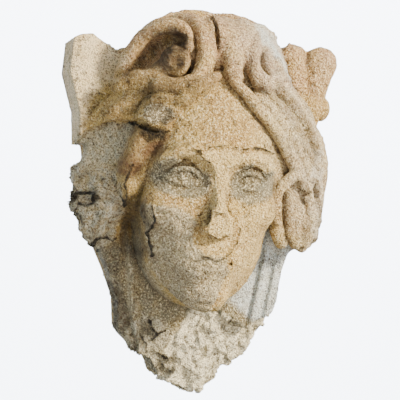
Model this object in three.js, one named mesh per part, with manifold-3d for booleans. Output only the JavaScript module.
// A carved sandstone mascaron: a woman's head on the front of a keystone, with
// rolled curls over the forehead, hair swept to both sides, two flared leaves at
// the upper corners and a moulded, broken lower end.
//
// Millimetres, +Z up, the face looks along -Y. The origin is on the flat back
// face, which beds against the wall, half way up the stone.

import * as THREE from "three";
import { mergeVertices } from "three/addons/utils/BufferGeometryUtils.js";
import Module from "manifold-3d";

// Driving sizes in millimetres
const HEIGHT = 400; // top of the curls to the broken tip
const BLOCK_DEPTH = 52; // keystone behind the head, back face to front face
const ROLL_RADIUS = 3.6; // roll along each side of the hollow field
const FLUTE_RADIUS = 4.4; // flute beside it, towards the outer edge
const LOCK_RADIUS = 15; // a lock of hair where it is widest
const BAND_RADIUS = 12; // band of hair rolled into each curl
const CURL_RADIUS = 17; // round end inside the roll
const GRID = 3; // spacing of the modelling grid
const TRIANGLES = 9000; // faces left after thinning

// The carver's module: a hundredth of the height. Carved places below are
// [across, forward, up] in modules, and mm() brings a driving size to modules.
const MODULE = HEIGHT / 100;
const mm = (size) => size / MODULE;

// The head follows the usual canon: three equal parts from hairline to chin,
// the eyes half way down the head, and the head five eyes wide.
const HAIRLINE = 30;
const CHIN = -28;
const HEAD_WIDTH = 42;
const THIRD = (HAIRLINE - CHIN) / 3;
const BROW = HAIRLINE - THIRD;
const NOSE_BASE = BROW - THIRD;
const CROWN = HAIRLINE + THIRD / 2;
const EYE_LINE = (CROWN + CHIN) / 2;
const EYE = HEAD_WIDTH / 5;
const MOUTH = NOSE_BASE - THIRD / 3;

const SIDES = [-1, 1];
const FRONT = mm(BLOCK_DEPTH);
const STEP = mm(GRID);

// Distance forms: each has a box, and a signed distance that is negative inside

const mix = (a, b, t) => a + (b - a) * t;
const clamp = (v, low, high) => Math.min(high, Math.max(low, v));

function ellipsoid([cx, cf, cz], [rx, rf, rz]) {
  return {
    low: [cx - rx, cf - rf, cz - rz],
    high: [cx + rx, cf + rf, cz + rz],
    distance(x, f, z) {
      const a = (x - cx) / rx;
      const b = (f - cf) / rf;
      const c = (z - cz) / rz;
      const near = Math.hypot(a, b, c);
      const slope = Math.hypot(a / rx, b / rf, c / rz);
      return slope > 0 ? (near * (near - 1)) / slope : -Math.min(rx, rf, rz);
    },
  };
}

// A round bar along a smooth path. Its radius runs through the given values,
// and deep stretches it front to back.
function bar(path, radii, { deep = 1, steps = 4 * (path.length - 1) } = {}) {
  const points = path.map(([x, f, z]) => new THREE.Vector3(x, f / deep, z));
  const line = new THREE.CatmullRomCurve3(points, false, "catmullrom", 0.5).getPoints(steps);
  const widths = line.map((_, i) => {
    const at = (i / steps) * (radii.length - 1);
    const k = Math.min(Math.floor(at), radii.length - 2);
    return mix(radii[k], radii[k + 1], at - k);
  });
  const box = new THREE.Box3().setFromPoints(line).expandByScalar(Math.max(...radii));
  const spans = line.slice(1).map((end, i) => {
    const start = line[i];
    const along = end.clone().sub(start);
    return { start, along, square: along.lengthSq(), from: widths[i], to: widths[i + 1] };
  });
  return {
    low: [box.min.x, box.min.y * deep, box.min.z],
    high: [box.max.x, box.max.y * deep, box.max.z],
    distance(x, f, z) {
      let best = Infinity;
      for (const { start, along, square, from, to } of spans) {
        const dx = x - start.x;
        const dy = f / deep - start.y;
        const dz = z - start.z;
        const share = (dx * along.x + dy * along.y + dz * along.z) / square;
        const t = share < 0 ? 0 : share > 1 ? 1 : share;
        const ax = dx - t * along.x;
        const ay = dy - t * along.y;
        const az = dz - t * along.z;
        const away = Math.sqrt(ax * ax + ay * ay + az * az) - from - (to - from) * t;
        if (away < best) best = away;
      }
      return best;
    },
  };
}

// Signed distance to a closed outline on the front plane, kept for each place
// because it is the same at every depth.
function outlineDistance(outline) {
  const known = new Map();
  return (x, z) => {
    const key = x * 8192 + z;
    if (known.has(key)) return known.get(key);
    let nearest = Infinity;
    let inside = false;
    for (let i = 0, j = outline.length - 1; i < outline.length; j = i++) {
      const [ax, az] = outline[j];
      const [bx, bz] = outline[i];
      const ex = bx - ax;
      const ez = bz - az;
      const t = clamp(((x - ax) * ex + (z - az) * ez) / (ex * ex + ez * ez), 0, 1);
      nearest = Math.min(nearest, Math.hypot(x - ax - t * ex, z - az - t * ez));
      if (az > z !== bz > z && x < ax + (ex * (z - az)) / ez) inside = !inside;
    }
    known.set(key, inside ? -nearest : nearest);
    return known.get(key);
  };
}

function boxOf(outline, back, front) {
  const xs = outline.map((p) => p[0]);
  const zs = outline.map((p) => p[1]);
  return {
    low: [Math.min(...xs), back, Math.min(...zs)],
    high: [Math.max(...xs), front, Math.max(...zs)],
  };
}

// A plate with the given front outline, from one depth to another.
function plate(outline, back, front) {
  const across = outlineDistance(outline);
  return {
    ...boxOf(outline, back, front),
    distance(x, f, z) {
      const through = Math.abs(f - (back + front) / 2) - (front - back) / 2;
      return Math.max(across(x, z), through);
    },
  };
}

// Several forms run together before they are laid on the stone.
function together(forms, rounding) {
  return {
    low: [0, 1, 2].map((a) => Math.min(...forms.map((form) => form.low[a])) - 1),
    high: [0, 1, 2].map((a) => Math.max(...forms.map((form) => form.high[a])) + 1),
    distance(x, f, z) {
      return forms.map((form) => form.distance(x, f, z)).reduce((a, b) => joined(a, b, rounding));
    },
  };
}

// What has broken off inside an outline: all that stands in front of a floor,
// which slopes across and up and is as uneven as broken stone.
function spall(outline, floorAt, unevenness = 0.5) {
  const across = outlineDistance(outline);
  return {
    ...boxOf(outline, 4, 46),
    distance(x, f, z) {
      const edge = across(x, z) + 0.4 * unevenness * rough(z, x, f);
      return Math.max(edge, floorAt(x, z) + unevenness * rough(x, f, z) - f);
    },
  };
}

// A smooth unevenness between about -1 and 1, with lumps of a few modules.
function rough(x, f, z) {
  return (
    0.5 * Math.sin(0.42 * x + 0.61 * z + 0.2 * f) * Math.cos(0.33 * z - 0.4 * x + 0.3 * f) +
    0.3 * Math.sin(x - 0.8 * z + 0.5 * f) +
    0.2 * Math.cos(1.3 * z + 1.1 * x - 0.7 * f)
  );
}

// The stone as distances on a grid: forms are laid on it or cut out of it,
// each with a rounding of its own along the join.
class Stone {
  constructor(low, high, step) {
    this.low = low;
    this.step = step;
    this.count = high.map((h, i) => Math.ceil((h - low[i]) / step) + 1);
    this.values = new Float32Array(this.count[0] * this.count[1] * this.count[2]);
    this.values.fill(10);
  }

  index(i, j, k) {
    return (k * this.count[1] + j) * this.count[0] + i;
  }

  shape(form, rounding, change) {
    const pad = rounding + 2 * this.step;
    const first = form.low.map((v, a) =>
      Math.max(0, Math.floor((v - pad - this.low[a]) / this.step)),
    );
    const last = form.high.map((v, a) =>
      Math.min(this.count[a] - 1, Math.ceil((v + pad - this.low[a]) / this.step)),
    );
    for (let k = first[2]; k <= last[2]; k++)
      for (let j = first[1]; j <= last[1]; j++)
        for (let i = first[0]; i <= last[0]; i++) {
          const x = this.low[0] + i * this.step;
          const f = this.low[1] + j * this.step;
          const z = this.low[2] + k * this.step;
          const at = this.index(i, j, k);
          this.values[at] = change(this.values[at], form.distance(x, f, z));
        }
  }

  add(form, rounding = 0.3) {
    this.shape(form, rounding, (old, d) => joined(old, d, rounding));
  }

  cut(form, rounding = 0.3) {
    this.shape(form, rounding, (old, d) => -joined(-old, d, rounding));
  }

  // Weathering: every value moves towards the mean of its neighbours.
  weather(share) {
    for (const stride of [1, this.count[0], this.count[0] * this.count[1]]) {
      const old = this.values.slice();
      for (let at = stride; at < old.length - stride; at++) {
        const mean = (old[at - stride] + old[at + stride]) / 2;
        this.values[at] = mix(old[at], mean, share);
      }
    }
  }
}

function joined(a, b, rounding) {
  const h = Math.max(rounding - Math.abs(a - b), 0) / rounding;
  return Math.min(a, b) - h * h * rounding * 0.25;
}

// Keystone block: a tapering stone with a hollow field and moulded edges

// Front outline from the upper left corner clockwise, with the broken foot.
const BLOCK_OUTLINE = [
  [-30, 30],
  [-20, 38],
  [20, 38],
  [30, 30],
  [31.4, 14],
  [25.8, -12.5],
  [24.6, -17],
  [23.8, -25],
  [22.8, -29],
  [21, -33],
  [18.2, -35.4],
  [17, -38.6],
  [13.8, -41.4],
  [11, -44.4],
  [9, -47.6],
  [5, -50],
  [1, -50],
  [-3.4, -48.6],
  [-7.4, -46.4],
  [-9.8, -42.4],
  [-13.6, -40.2],
  [-18.4, -35],
  [-19.2, -27.5],
  [-22.4, -20],
  [-26, -13],
  [-31, 14],
];
// Top of the stone behind the curls, from the left leaf to the right one.
const CREST_OUTLINE = [
  [-24, 32],
  [-21.5, 38.2],
  [-18.6, 42.6],
  [-15.4, 46.4],
  [-12, 48.4],
  [-8, 49.8],
  [-3, 50.1],
  [0, 49.6],
  [3, 50.1],
  [8, 49.6],
  [12, 48],
  [14.6, 45.6],
  [17, 41.4],
  [19.4, 37],
  [21, 32],
];
const LEAF_OUTLINE = [
  [37.2, 31],
  [36.8, 39.4],
  [35.6, 40.2],
  [31.6, 41.3],
  [30, 40.6],
  [27.8, 39.2],
  [25.2, 37.6],
  [21, 38.4],
  [24, 28],
  [29, 13],
  [33, 12.4],
  [33.8, 21],
];
// The right leaf has lost its outer edge and shows two lobes.
const WORN_LEAF_OUTLINE = [
  [33.6, 34],
  [35.4, 41.2],
  [33.6, 43],
  [30.4, 43.6],
  [26.8, 42.4],
  [24.8, 43.6],
  [22, 43.8],
  [19.4, 40.6],
  [20, 30],
  [27, 14],
  [31.4, 22],
];

// The hollow field and its mouldings sit a little to the right of the head.
const FIELD_SHIFT = 1.3;

function block(stone) {
  stone.add(plate(BLOCK_OUTLINE, -4, FRONT), 0.5);
  stone.add(plate(CREST_OUTLINE, -4, FRONT + 3), 2.5);
  stone.cut(ellipsoid([FIELD_SHIFT, FRONT + 12, -28], [15.8, 14.4, 30]), 0.8);
  for (const side of SIDES) edgeMoulding(stone, side);
}

function edgeMoulding(stone, side) {
  const run = (inset) => [
    [FIELD_SHIFT + side * (19.2 - inset), FRONT, -6],
    [FIELD_SHIFT + side * (17.9 - inset), FRONT, -18],
    [FIELD_SHIFT + side * (15.6 - inset), FRONT, -34],
    [FIELD_SHIFT + side * (14.6 - inset), FRONT, -40],
  ];
  const roll = mm(ROLL_RADIUS);
  const flute = mm(FLUTE_RADIUS);
  const groove = 0.6;
  stone.cut(bar(run(-roll - flute), [flute, flute]), 0.3);
  stone.cut(bar(run(roll + groove), [groove, groove]), 0.2);
  stone.add(bar(run(0), [roll, roll]), 0.1);
}

// Flared leaf at each upper corner, hollowed down the front

function leftLeaf(stone) {
  stone.add(plate(LEAF_OUTLINE.map(([x, z]) => [-x, z]), -4, FRONT + 4.4), 1);
  const hollow = [
    [-26, FRONT + 10, 48],
    [-27.6, FRONT + 9, 32],
    [-30.4, FRONT + 5.6, 15],
  ];
  stone.cut(bar(hollow, [9.4, 8, 3.4]), 1.2);
}

function rightLeaf(stone) {
  stone.add(plate(WORN_LEAF_OUTLINE, -4, FRONT), 1);
  const inner = [
    [22.8, FRONT, 40.6],
    [24.4, FRONT, 34],
    [26.6, FRONT, 27],
  ];
  const outer = [
    [30.9, FRONT, 39.6],
    [29.8, FRONT, 34],
    [29, FRONT, 27],
  ];
  stone.add(bar(inner, [3.2, 3, 2.4], { deep: 0.8 }), 1);
  stone.add(bar(outer, [4.4, 3.6, 2.4], { deep: 0.8 }), 1);
  stone.add(ellipsoid([33.2, FRONT - 4, 27.6], [2.2, 4, 3.4]), 1);
}

// Head: skull, cheeks and jaw first, then the features on them

function head(stone) {
  const cheeks = SIDES.map((side) => ellipsoid([side * 10.5, 27.4, EYE_LINE - 7.5], [6.8, 5.8, 6]));
  const masses = [
    ellipsoid([0, 14, 12], [20.5, 22.5, 28]),
    ellipsoid([0, 16, CHIN + 20.5], [17, 19.5, 20.5]),
    ellipsoid([0, 29.5, CHIN + 5], [6.5, 6.2, 4.9]),
    ...cheeks,
  ];
  stone.add(together(masses, 4), 0.4);
  brows(stone);
  for (const side of SIDES) eye(stone, side);
  nose(stone);
  mouth(stone);
}

function brows(stone) {
  for (const side of SIDES) {
    const ridge = [
      [side * 2, 35.2, BROW - 0.8],
      [side * EYE, 35, BROW + 1],
      [side * 14, 31.6, BROW - 1.2],
    ];
    stone.add(bar(ridge, [1.7, 1.8, 1.4]), 3);
  }
}

function eye(stone, side) {
  const middle = side * EYE;
  stone.cut(ellipsoid([middle, 36.8, EYE_LINE], [0.68 * EYE, 4.6, 0.4 * EYE]), 2.5);
  stone.add(ellipsoid([middle * 0.98, 28.6, EYE_LINE], [5, 5, 4.7]), 0.4);
  const lid = (rise, forward) => [
    [middle - side * EYE * 0.5, 33.2, EYE_LINE - 0.2],
    [middle - side * EYE * 0.22, forward, EYE_LINE + rise * 0.85],
    [middle + side * EYE * 0.05, forward, EYE_LINE + rise],
    [middle + side * EYE * 0.3, forward - 0.9, EYE_LINE + rise * 0.75],
    [middle + side * EYE * 0.54, 31.2, EYE_LINE - 0.3],
  ];
  stone.add(bar(lid(2.2, 34), [0.6, 0.9, 0.9, 0.9, 0.6]), 0.4);
  stone.add(bar(lid(-1.9, 33.3), [0.5, 0.8, 0.8, 0.8, 0.5]), 0.4);
}

function nose(stone) {
  const ridge = [
    [0, 34.4, BROW - 1],
    [0, 36.4, mix(BROW, NOSE_BASE, 0.45)],
    [0, 39.2, NOSE_BASE + 3],
  ];
  stone.add(bar(ridge, [2, 2, 2.5]), 2);
  stone.add(ellipsoid([0, 38.6, NOSE_BASE + 2.2], [2.9, 3, 2.6]), 1.5);
  for (const side of SIDES) {
    stone.add(ellipsoid([side * 2.7, 36.4, NOSE_BASE + 1.6], [1.6, 2.8, 1.9]), 1);
  }
}

function mouth(stone) {
  stone.add(ellipsoid([0, 31.5, MOUTH], [8, 4.6, 6]), 3);
  const lip = (rise, forward) => [
    [-EYE * 0.74, 33.6, MOUTH],
    [-EYE * 0.3, forward - 0.3, MOUTH + rise],
    [0, forward, MOUTH + rise * 0.85],
    [EYE * 0.3, forward - 0.3, MOUTH + rise],
    [EYE * 0.74, 33.6, MOUTH],
  ];
  stone.add(bar(lip(1.3, 35.6), [0.5, 1.1, 1.1, 1.1, 0.5]), 0.8);
  stone.add(bar(lip(-1.5, 35.4), [0.5, 1.2, 1.4, 1.2, 0.5]), 0.8);
}

// Hair: a mass over the sides of the head, with locks laid along it

// Thin roll along the hairline, from the parting to the ear, on each side.
const LEFT_ROLL = [
  [-1.2, 33, 32.2],
  [-5.7, 33.2, 29.4],
  [-9.8, 32.4, 26.2],
  [-12.6, 30.8, 22],
  [-15.2, 28.8, 16.6],
  [-17.2, 26.8, 11.6],
  [-19.4, 24, 5],
];
const RIGHT_ROLL = [
  [2.5, 32.8, 30.7],
  [5.8, 33.6, 27.7],
  [9.9, 33.2, 23.8],
  [14.5, 31, 19.8],
  [18.3, 28, 16],
  [21.3, 26.4, 12.2],
  [23.6, 25, 8.5],
  [24.6, 24, 4],
];
// Broad locks behind the rolls, one row for each.
const LEFT_LOCKS = [
  [[-9.8, 29.2, 27.6], [-13.6, 28.2, 24.4], [-16.8, 26.4, 19.4], [-19, 24.8, 13.3], [-20.4, 22.6, 3]],
  [[-14, 26.4, 30.4], [-19, 23, 26.4], [-23.4, 19.6, 21.6], [-26.4, 16, 14], [-27.6, 13, 4]],
];
const RIGHT_LOCKS = [
  [[10.4, 29, 27.8], [13.9, 27.6, 24.4], [18.4, 25.2, 20.4], [22.6, 22.8, 16.2], [27.2, 19.8, 7]],
  [[17, 24, 30.4], [21.6, 20.6, 26], [26, 17.4, 20.8], [29.8, 14.2, 15.6], [31.6, 12.4, 9.6], [32, 11, 2]],
];
const OUTER_LOCK = [
  [-18.4, 23, 29],
  [-24, 20, 24.8],
  [-29, 16.4, 20],
  [-32, 13.4, 14.4],
];
// Ends of the locks below the right temple, each from its top to its tip.
const LOCK_ENDS = [
  [[21.6, 26, 8.6], [18.9, 25.2, 5], [18.1, 25, 0], [18.6, 24, -4.6], [20.9, 22, -9]],
  [[23.4, 25.4, 6.4], [22.4, 25.2, 3], [23.4, 24.8, -0.8], [24.6, 23.6, -5], [25, 22, -8.8]],
  [[26, 24, 7], [27, 23, 2.6], [28, 22, -2], [28.4, 20.4, -6], [27.6, 19, -9.6]],
  [[30, 19.4, 9], [31.2, 18, 4], [31.4, 16.6, -0.6], [30.4, 16, -5.4], [29.4, 16.6, -8.6]],
];

function hair(stone) {
  stone.add(ellipsoid([0, 10, 14], [29.6, 20.5, 27]), 1);
  stone.add(ellipsoid([25.6, 12, -0.4], [7.4, 10.6, 10.8]), 2);
  stone.add(ellipsoid([-25.8, 10.5, 0], [7.2, 9.5, 14]), 2);
  stone.add(ellipsoid([0, 16, 38], [9, 13, 10]), 1);
  const wide = mm(LOCK_RADIUS);
  for (const lock of [...LEFT_LOCKS, ...RIGHT_LOCKS]) {
    stone.add(bar(lock, [0.7 * wide, wide, 1.1 * wide, 1.05 * wide, 0.9 * wide]), 1.4);
  }
  stone.add(bar(OUTER_LOCK, [0.3 * wide, 0.4 * wide, 0.4 * wide, 0.25 * wide]), 0.8);
  stone.add(bar(LEFT_ROLL, [0.35 * wide, 0.42 * wide, 0.45 * wide, 0.4 * wide]), 1.2);
  stone.add(bar(RIGHT_ROLL, [0.35 * wide, 0.45 * wide, 0.5 * wide, 0.5 * wide]), 0.8);
  for (const end of LOCK_ENDS) {
    stone.add(bar(end, [0.4 * wide, 0.5 * wide, 0.54 * wide, 0.48 * wide]), 0.4);
  }
}

// Rolled curls over the forehead, one each side of the middle groove. Each has a
// column of hair that rises beside the groove, and a spiral with a round end.

// The left curl is deep and crisp: a funnel that runs in behind the round end.
function leftCurl(stone) {
  const band = mm(BAND_RADIUS);
  const round = mm(CURL_RADIUS);
  const column = [
    [-9.8, 18, 46.4],
    [-6.9, 22, 45.6],
    [-5.2, 26, 43],
    [-4.8, 28.6, 39.5],
    [-4.9, 30.4, 35.2],
    [-6, 31, 31.4],
    [-8.6, 31, 28.9],
    [-12, 30, 28.2],
    [-15.6, 28.4, 28.6],
  ];
  const rim = [
    [-23.4, 16, 30],
    [-22.2, 19, 35.3],
    [-19.8, 21, 39.4],
    [-16.7, 23, 42.4],
    [-13.2, 25.4, 43.8],
    [-10.4, 28, 42.4],
    [-9.4, 30, 38.6],
  ];
  const slope = [
    [-24.2, 28, 31.4],
    [-20.6, 30, 36.8],
    [-16.7, 31, 40.2],
    [-12.4, 31.4, 41.6],
  ];
  const hollow = [
    [-22.4, 24.6, 31.4],
    [-19.3, 25.6, 35],
    [-16.6, 26.6, 37.8],
    [-13.9, 27.4, 39.8],
    [-10.8, 28, 40.6],
  ];
  stone.add(ellipsoid([-10, 14, 36], [12, 15, 11]), 2);
  stone.add(bar(column, [0.7 * band, 0.75 * band, 0.8 * band, 0.85 * band, 0.75 * band]), 0.5);
  stone.add(bar(rim, [0.75 * band, 0.8 * band, 0.8 * band, 0.75 * band, 0.5 * band]), 0.6);
  stone.cut(bar(slope, [1.4, 3.6, 4.2, 2.6]), 0.8);
  stone.cut(bar(hollow, [1.2, 2.4, 2.6, 2, 1.1], { deep: 2.4 }), 0.3);
  stone.add(ellipsoid([-12, 27.6, 34.7], [0.92 * round, 5, round]), 0.3);
  const groove = [
    [-11.3, 31, 43],
    [-8.9, 31, 41.8],
    [-7.6, 31.4, 38.6],
    [-7.5, 31.6, 35.1],
    [-8.8, 31.6, 32],
  ];
  stone.cut(bar(groove, [0.7, 0.9, 1, 0.9, 0.5], { deep: 2.2 }), 0.3);
}

// The right curl is worn shallow, with its spiral low beside the column.
function rightCurl(stone) {
  const band = mm(BAND_RADIUS);
  const round = mm(CURL_RADIUS);
  const column = [
    [1.6, 20, 46],
    [1.6, 25, 44],
    [1.8, 28.6, 39.9],
    [2.4, 30.4, 35.5],
    [3, 31.4, 32],
  ];
  const turn = [
    [14, 20, 43.6],
    [10.6, 22.6, 45],
    [8.4, 25.4, 43.4],
    [7.4, 28, 39.6],
    [7.4, 30, 35.8],
    [9, 31, 32.6],
    [12, 30.6, 31.4],
    [14.6, 29, 33.4],
    [15, 27.6, 37],
  ];
  stone.add(ellipsoid([9, 14, 36.4], [10.6, 14.6, 11]), 2);
  stone.add(ellipsoid([10, 19, 33.4], [10, 10, 8]), 2);
  stone.add(bar(column, [0.8 * band, 0.9 * band, 0.9 * band, 0.7 * band]), 0.5);
  stone.add(bar(turn, [0.7 * band, 0.75 * band, 0.7 * band, 0.65 * band, 0.5 * band]), 0.6);
  stone.add(ellipsoid([11.6, 27.2, 36], [0.55 * round, 4.4, 0.7 * round]), 0.8);
  stone.cut(bar([[4.7, 31, 44], [4.9, 32, 39], [5.3, 32.6, 35]], [0.6, 0.7, 0.4], { deep: 2 }), 0.4);
}

// Losses: what has broken away

function losses(stone) {
  // Left hair, split off in front of the ear down to the core.
  const temple = [
    [-33.4, 13],
    [-31, 16],
    [-28, 18.1],
    [-24, 19.2],
    [-19.6, 19],
    [-20.2, 17],
    [-22.3, 10.9],
    [-23.6, 7],
    [-22.4, 2],
    [-20.4, -2],
    [-20.6, -6],
    [-22, -12],
    [-28, -18],
    [-45, -16],
    [-45, 10],
  ];
  stone.cut(spall(temple, (x) => 20.5 + 0.62 * (x + 21), 0.9), 0.4);
  // Open crack above the standing plate of hair.
  const crack = [
    [-20.4, 27, 18.6],
    [-18, 29.5, 17],
    [-15.4, 31.5, 16.6],
    [-13.2, 33.5, 17],
  ];
  stone.cut(bar(crack, [1.1, 1.1, 0.9, 0.5], { deep: 2.8 }), 0.2);
  // Nose tip.
  const tip = [[-4, NOSE_BASE - 2], [5, NOSE_BASE - 2], [4, NOSE_BASE + 6], [-3, NOSE_BASE + 6]];
  stone.cut(spall(tip, () => 39.4, 0.4), 0.4);
  // Front of the foot, lower right.
  const foot = [
    [-6, -39.6],
    [-1.6, -34],
    [0.6, -29],
    [5.6, -28],
    [10, -30],
    [16, -32.6],
    [24, -28],
    [24, -52],
    [-8, -52],
  ];
  stone.cut(spall(foot, (x, z) => 10.6 + 0.12 * (z + 42) - 0.1 * x, 0.7), 0.3);
  // Left edge of the block, below the panel.
  const edge = [
    [-27, -21],
    [-19.4, -21.6],
    [-18.4, -25],
    [-17, -29],
    [-15, -33],
    [-12, -42],
    [-24, -42],
  ];
  stone.cut(spall(edge, () => 11, 0.6), 0.3);
}

// From the grid to a closed mesh

// Two solid corners that meet only across a face or a cube would leave an edge
// with four faces, so an empty corner beside them is filled.
function fillDiagonals(stone) {
  const { count, values } = stone;
  const [sx, sy, sz] = [1, count[0], count[0] * count[1]];
  const corners = [0, sx, sy, sx + sy, sz, sx + sz, sy + sz, sx + sy + sz];
  const sides = [
    [0, 1, 3, 2],
    [4, 5, 7, 6],
    [0, 1, 5, 4],
    [2, 3, 7, 6],
    [0, 2, 6, 4],
    [1, 3, 7, 5],
  ];
  const fillOne = (at, ring) => {
    const empty = ring.find((c) => values[at + corners[c]] >= 0);
    values[at + corners[empty]] = -1e-3;
  };
  let filled = true;
  while (filled) {
    filled = false;
    for (let k = 0; k < count[2] - 1; k++)
      for (let j = 0; j < count[1] - 1; j++)
        for (let i = 0; i < count[0] - 1; i++) {
          const at = stone.index(i, j, k);
          let solid = 0;
          for (const corner of corners) if (values[at + corner] < 0) solid++;
          if (solid < 2 || solid > 6) continue;
          const isSolid = (c) => values[at + corners[c]] < 0;
          for (const ring of sides) {
            const [a, b, c, d] = ring.map(isSolid);
            if (a !== c || b !== d || a === b) continue;
            fillOne(at, ring);
            filled = true;
          }
          for (let c = 0; c < 4; c++) {
            const across = isSolid(c) === isSolid(7 - c) && solid === (isSolid(c) ? 2 : 6);
            if (!across) continue;
            fillOne(at, [0, 1, 2, 3, 4, 5, 6, 7]);
            filled = true;
            break;
          }
        }
  }
}

// Surface nets: one vertex for each cell that the surface passes through.
function surfaceOf(stone) {
  const { count, values, low, step } = stone;
  const stride = [1, count[0], count[0] * count[1]];
  const vertexOf = new Int32Array(values.length).fill(-1);
  const positions = [];
  const faces = [];
  for (let k = 0; k < count[2] - 1; k++)
    for (let j = 0; j < count[1] - 1; j++)
      for (let i = 0; i < count[0] - 1; i++) {
        const at = stone.index(i, j, k);
        const sum = [0, 0, 0];
        let crossings = 0;
        for (let axis = 0; axis < 3; axis++) {
          const u = (axis + 1) % 3;
          const v = (axis + 2) % 3;
          for (let corner = 0; corner < 4; corner++) {
            const a = corner & 1;
            const b = corner >> 1;
            const from = at + a * stride[u] + b * stride[v];
            const here = values[from];
            const there = values[from + stride[axis]];
            if (here < 0 === there < 0) continue;
            sum[axis] += here / (here - there);
            sum[u] += a;
            sum[v] += b;
            crossings++;
          }
        }
        if (!crossings) continue;
        vertexOf[at] = positions.length / 3;
        [i, j, k].forEach((n, a) => positions.push(low[a] + step * (n + sum[a] / crossings)));
      }
  for (let k = 1; k < count[2] - 1; k++)
    for (let j = 1; j < count[1] - 1; j++)
      for (let i = 1; i < count[0] - 1; i++) {
        const at = stone.index(i, j, k);
        for (let axis = 0; axis < 3; axis++) {
          const solid = values[at] < 0;
          if (solid === values[at + stride[axis]] < 0) continue;
          const u = stride[(axis + 1) % 3];
          const v = stride[(axis + 2) % 3];
          const ring = [at, at - u, at - u - v, at - v].map((cell) => vertexOf[cell]);
          if (solid) ring.reverse();
          const [a, b, c, d] = ring;
          faces.push(a, b, c, a, c, d);
        }
      }
  return { positions, faces };
}

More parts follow.
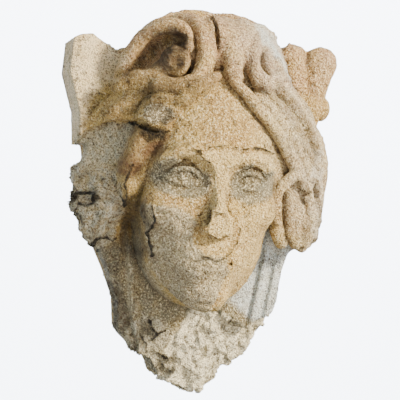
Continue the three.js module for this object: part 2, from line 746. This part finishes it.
// Thins a closed mesh by joining the ends of the edges whose loss changes its
// shape least, and keeps it closed. The carved front counts more than the rest.
function thinned({ positions, faces }, target) {
  const points = Float64Array.from(positions);
  const triangles = Int32Array.from(faces);
  const total = points.length / 3;
  const around = Array.from({ length: total }, () => []);
  const quadrics = new Float64Array(total * 10);
  const version = new Int32Array(total);
  const gone = new Uint8Array(triangles.length / 3);

  // Normal of a triangle as [x, y, z, length]; v may stand at another place.
  function normalOf(t, v, at) {
    const p = [];
    for (let n = 0; n < 3; n++) {
      const c = triangles[3 * t + n];
      if (c === v) p.push(at[0], at[1], at[2]);
      else p.push(points[3 * c], points[3 * c + 1], points[3 * c + 2]);
    }
    const [ax, ay, az, bx, by, bz, cx, cy, cz] = p;
    const x = (by - ay) * (cz - az) - (bz - az) * (cy - ay);
    const y = (bz - az) * (cx - ax) - (bx - ax) * (cz - az);
    const z = (bx - ax) * (cy - ay) - (by - ay) * (cx - ax);
    const longest = Math.max(
      (bx - ax) ** 2 + (by - ay) ** 2 + (bz - az) ** 2,
      (cx - ax) ** 2 + (cy - ay) ** 2 + (cz - az) ** 2,
      (cx - bx) ** 2 + (cy - by) ** 2 + (cz - bz) ** 2,
    );
    return { x, y, z, length: Math.sqrt(x * x + y * y + z * z), longest };
  }

  for (let t = 0; t < gone.length; t++) {
    const { x, y, z, length } = normalOf(t);
    const v0 = 3 * triangles[3 * t];
    const offset = -(x * points[v0] + y * points[v0 + 1] + z * points[v0 + 2]);
    const plane = [x, y, z, offset].map((value) => value / (length || 1));
    const worth = (points[v0 + 1] > FRONT + 4 ? 3 : 1) * length;
    for (let c = 0; c < 3; c++) {
      const v = triangles[3 * t + c];
      around[v].push(t);
      let n = v * 10;
      for (let i = 0; i < 4; i++)
        for (let j = i; j < 4; j++) quadrics[n++] += worth * plane[i] * plane[j];
    }
  }

  // Least-error place for the joined vertex: the exact one where it is well
  // defined and near, else an end or the middle of the edge.
  const q = new Float64Array(10);
  function errorAt(x, y, z) {
    const a = q[0] * x + 2 * (q[1] * y + q[2] * z + q[3]);
    const b = q[4] * y + 2 * (q[5] * z + q[6]);
    return a * x + b * y + (q[7] * z + 2 * q[8]) * z + q[9];
  }
  function offer(u, v) {
    for (let n = 0; n < 10; n++) q[n] = quadrics[10 * u + n] + quadrics[10 * v + n];
    const [ux, uy, uz] = [points[3 * u], points[3 * u + 1], points[3 * u + 2]];
    const [vx, vy, vz] = [points[3 * v], points[3 * v + 1], points[3 * v + 2]];
    const middle = [(ux + vx) / 2, (uy + vy) / 2, (uz + vz) / 2];
    const square = (ux - vx) ** 2 + (uy - vy) ** 2 + (uz - vz) ** 2;
    let at = middle;
    let cost = errorAt(...middle);
    const tries = [[ux, uy, uz], [vx, vy, vz]];
    const [xx, xy, xz, xw, yy, yz, yw, zz, zw] = q;
    const a = yy * zz - yz * yz;
    const b = xz * yz - xy * zz;
    const c = xy * yz - yy * xz;
    const d = xx * zz - xz * xz;
    const e = xy * xz - xx * yz;
    const f = xx * yy - xy * xy;
    const volume = xx * a + xy * b + xz * c;
    if (volume > 1e-4 * (xx + yy + zz) ** 3) {
      const x = -(a * xw + b * yw + c * zw) / volume;
      const y = -(b * xw + d * yw + e * zw) / volume;
      const z = -(c * xw + e * yw + f * zw) / volume;
      const away = (x - middle[0]) ** 2 + (y - middle[1]) ** 2 + (z - middle[2]) ** 2;
      if (away < square) tries.push([x, y, z]);
    }
    for (const place of tries) {
      const error = errorAt(...place);
      if (error >= cost) continue;
      cost = error;
      at = place;
    }
    push({ cost: cost + 1e-5 * square, u, v, seen: version[u] + version[v], at });
  }

  // Binary heap of the edges, cheapest first.
  const heap = [];
  function push(item) {
    let n = heap.length;
    heap.push(item);
    while (n > 0) {
      const parent = (n - 1) >> 1;
      if (heap[parent].cost <= item.cost) break;
      heap[n] = heap[parent];
      n = parent;
    }
    heap[n] = item;
  }
  function pop() {
    const top = heap[0];
    const item = heap.pop();
    if (!heap.length) return top;
    let n = 0;
    for (;;) {
      let child = 2 * n + 1;
      if (child >= heap.length) break;
      if (child + 1 < heap.length && heap[child + 1].cost < heap[child].cost) child++;
      if (heap[child].cost >= item.cost) break;
      heap[n] = heap[child];
      n = child;
    }
    heap[n] = item;
    return top;
  }

  function neighbours(v) {
    const found = [];
    for (const t of around[v])
      for (let n = 3 * t; n < 3 * t + 3; n++) {
        const c = triangles[n];
        if (c !== v && !found.includes(c)) found.push(c);
      }
    return found;
  }
  // No triangle may turn over or become a sliver when v moves.
  function keepsFaces(v, other, at) {
    for (const t of around[v]) {
      const c = 3 * t;
      if (triangles[c] === other || triangles[c + 1] === other) continue;
      if (triangles[c + 2] === other) continue;
      const old = normalOf(t);
      const now = normalOf(t, v, at);
      const along = old.x * now.x + old.y * now.y + old.z * now.z;
      if (along < 0.3 * old.length * now.length) return false;
      if (now.length < 0.06 * now.longest) return false;
    }
    return true;
  }

  for (let v = 0; v < total; v++) for (const n of neighbours(v)) if (v < n) offer(v, n);
  let left = gone.length;
  while (left > target && heap.length) {
    const { u, v, seen, at } = pop();
    if (seen !== version[u] + version[v] || !around[u].length || !around[v].length) continue;
    const near = neighbours(u);
    if (!near.includes(v)) continue;
    if (neighbours(v).filter((n) => near.includes(n)).length !== 2) continue;
    if (!keepsFaces(u, v, at) || !keepsFaces(v, u, at)) continue;
    for (const t of around[v]) {
      const ends = triangles.subarray(3 * t, 3 * t + 3);
      if (ends.includes(u)) {
        gone[t] = 1;
        left--;
        for (const e of ends) if (e !== v) around[e] = around[e].filter((other) => other !== t);
      } else {
        ends[ends.indexOf(v)] = u;
        around[u].push(t);
      }
    }
    around[v] = [];
    points.set(at, 3 * u);
    for (let n = 0; n < 10; n++) quadrics[10 * u + n] += quadrics[10 * v + n];
    version[u]++;
    version[v]++;
    for (const n of neighbours(u)) offer(Math.min(u, n), Math.max(u, n));
  }

  const used = new Map();
  const out = { positions: [], faces: [] };
  for (let t = 0; t < gone.length; t++) {
    if (gone[t]) continue;
    for (let n = 0; n < 3; n++) {
      const v = triangles[3 * t + n];
      if (!used.has(v)) {
        used.set(v, out.positions.length / 3);
        out.positions.push(...points.subarray(3 * v, 3 * v + 3));
      }
      out.faces.push(used.get(v));
    }
  }
  return out;
}

// The flat back, sawn with a block that stands behind it

const wasm = await Module();
wasm.setup();

function solidOf(geometry) {
  geometry.deleteAttribute("normal");
  geometry.deleteAttribute("uv");
  const merged = mergeVertices(geometry, 1e-4);
  return new wasm.Manifold(
    new wasm.Mesh({
      numProp: 3,
      vertProperties: merged.attributes.position.array,
      triVerts: new Uint32Array(merged.index.array),
    }),
  );
}

function geometryOf(solid) {
  const mesh = solid.getMesh();
  const geometry = new THREE.BufferGeometry();
  geometry.setAttribute("position", new THREE.BufferAttribute(mesh.vertProperties, 3));
  geometry.setIndex(new THREE.BufferAttribute(mesh.triVerts, 1));
  geometry.computeVertexNormals();
  return geometry;
}

function carvedStone() {
  const stone = new Stone([-40, -4 * STEP, -53], [40, 44, 53], STEP);
  block(stone);
  leftLeaf(stone);
  rightLeaf(stone);
  hair(stone);
  head(stone);
  leftCurl(stone);
  rightCurl(stone);
  losses(stone);
  stone.weather(0.3);
  stone.cut(plate([[-45, -60], [45, -60], [45, 60], [-45, 60]], -20, -2 * STEP), 0.1);
  fillDiagonals(stone);
  const { positions, faces } = thinned(surfaceOf(stone), TRIANGLES);

  const world = new Float32Array(positions.length);
  for (let v = 0; v < positions.length; v += 3) {
    world[v] = positions[v] * MODULE;
    world[v + 1] = -positions[v + 1] * MODULE;
    world[v + 2] = positions[v + 2] * MODULE;
  }
  const geometry = new THREE.BufferGeometry();
  geometry.setAttribute("position", new THREE.BufferAttribute(world, 3));
  geometry.setIndex(faces);

  const behind = new THREE.BoxGeometry(2 * HEIGHT, HEIGHT, 2 * HEIGHT);
  behind.translate(0, HEIGHT / 2, 0);
  return geometryOf(solidOf(geometry).subtract(solidOf(behind)));
}

const sandstone = new THREE.MeshStandardMaterial({
  color: "#a8916f",
  roughness: 0.95,
  metalness: 0,
});

const mascaron = new THREE.Mesh(carvedStone(), sandstone);
mascaron.name = "mascaron";

const part = new THREE.Group();
part.add(mascaron);

export default part;
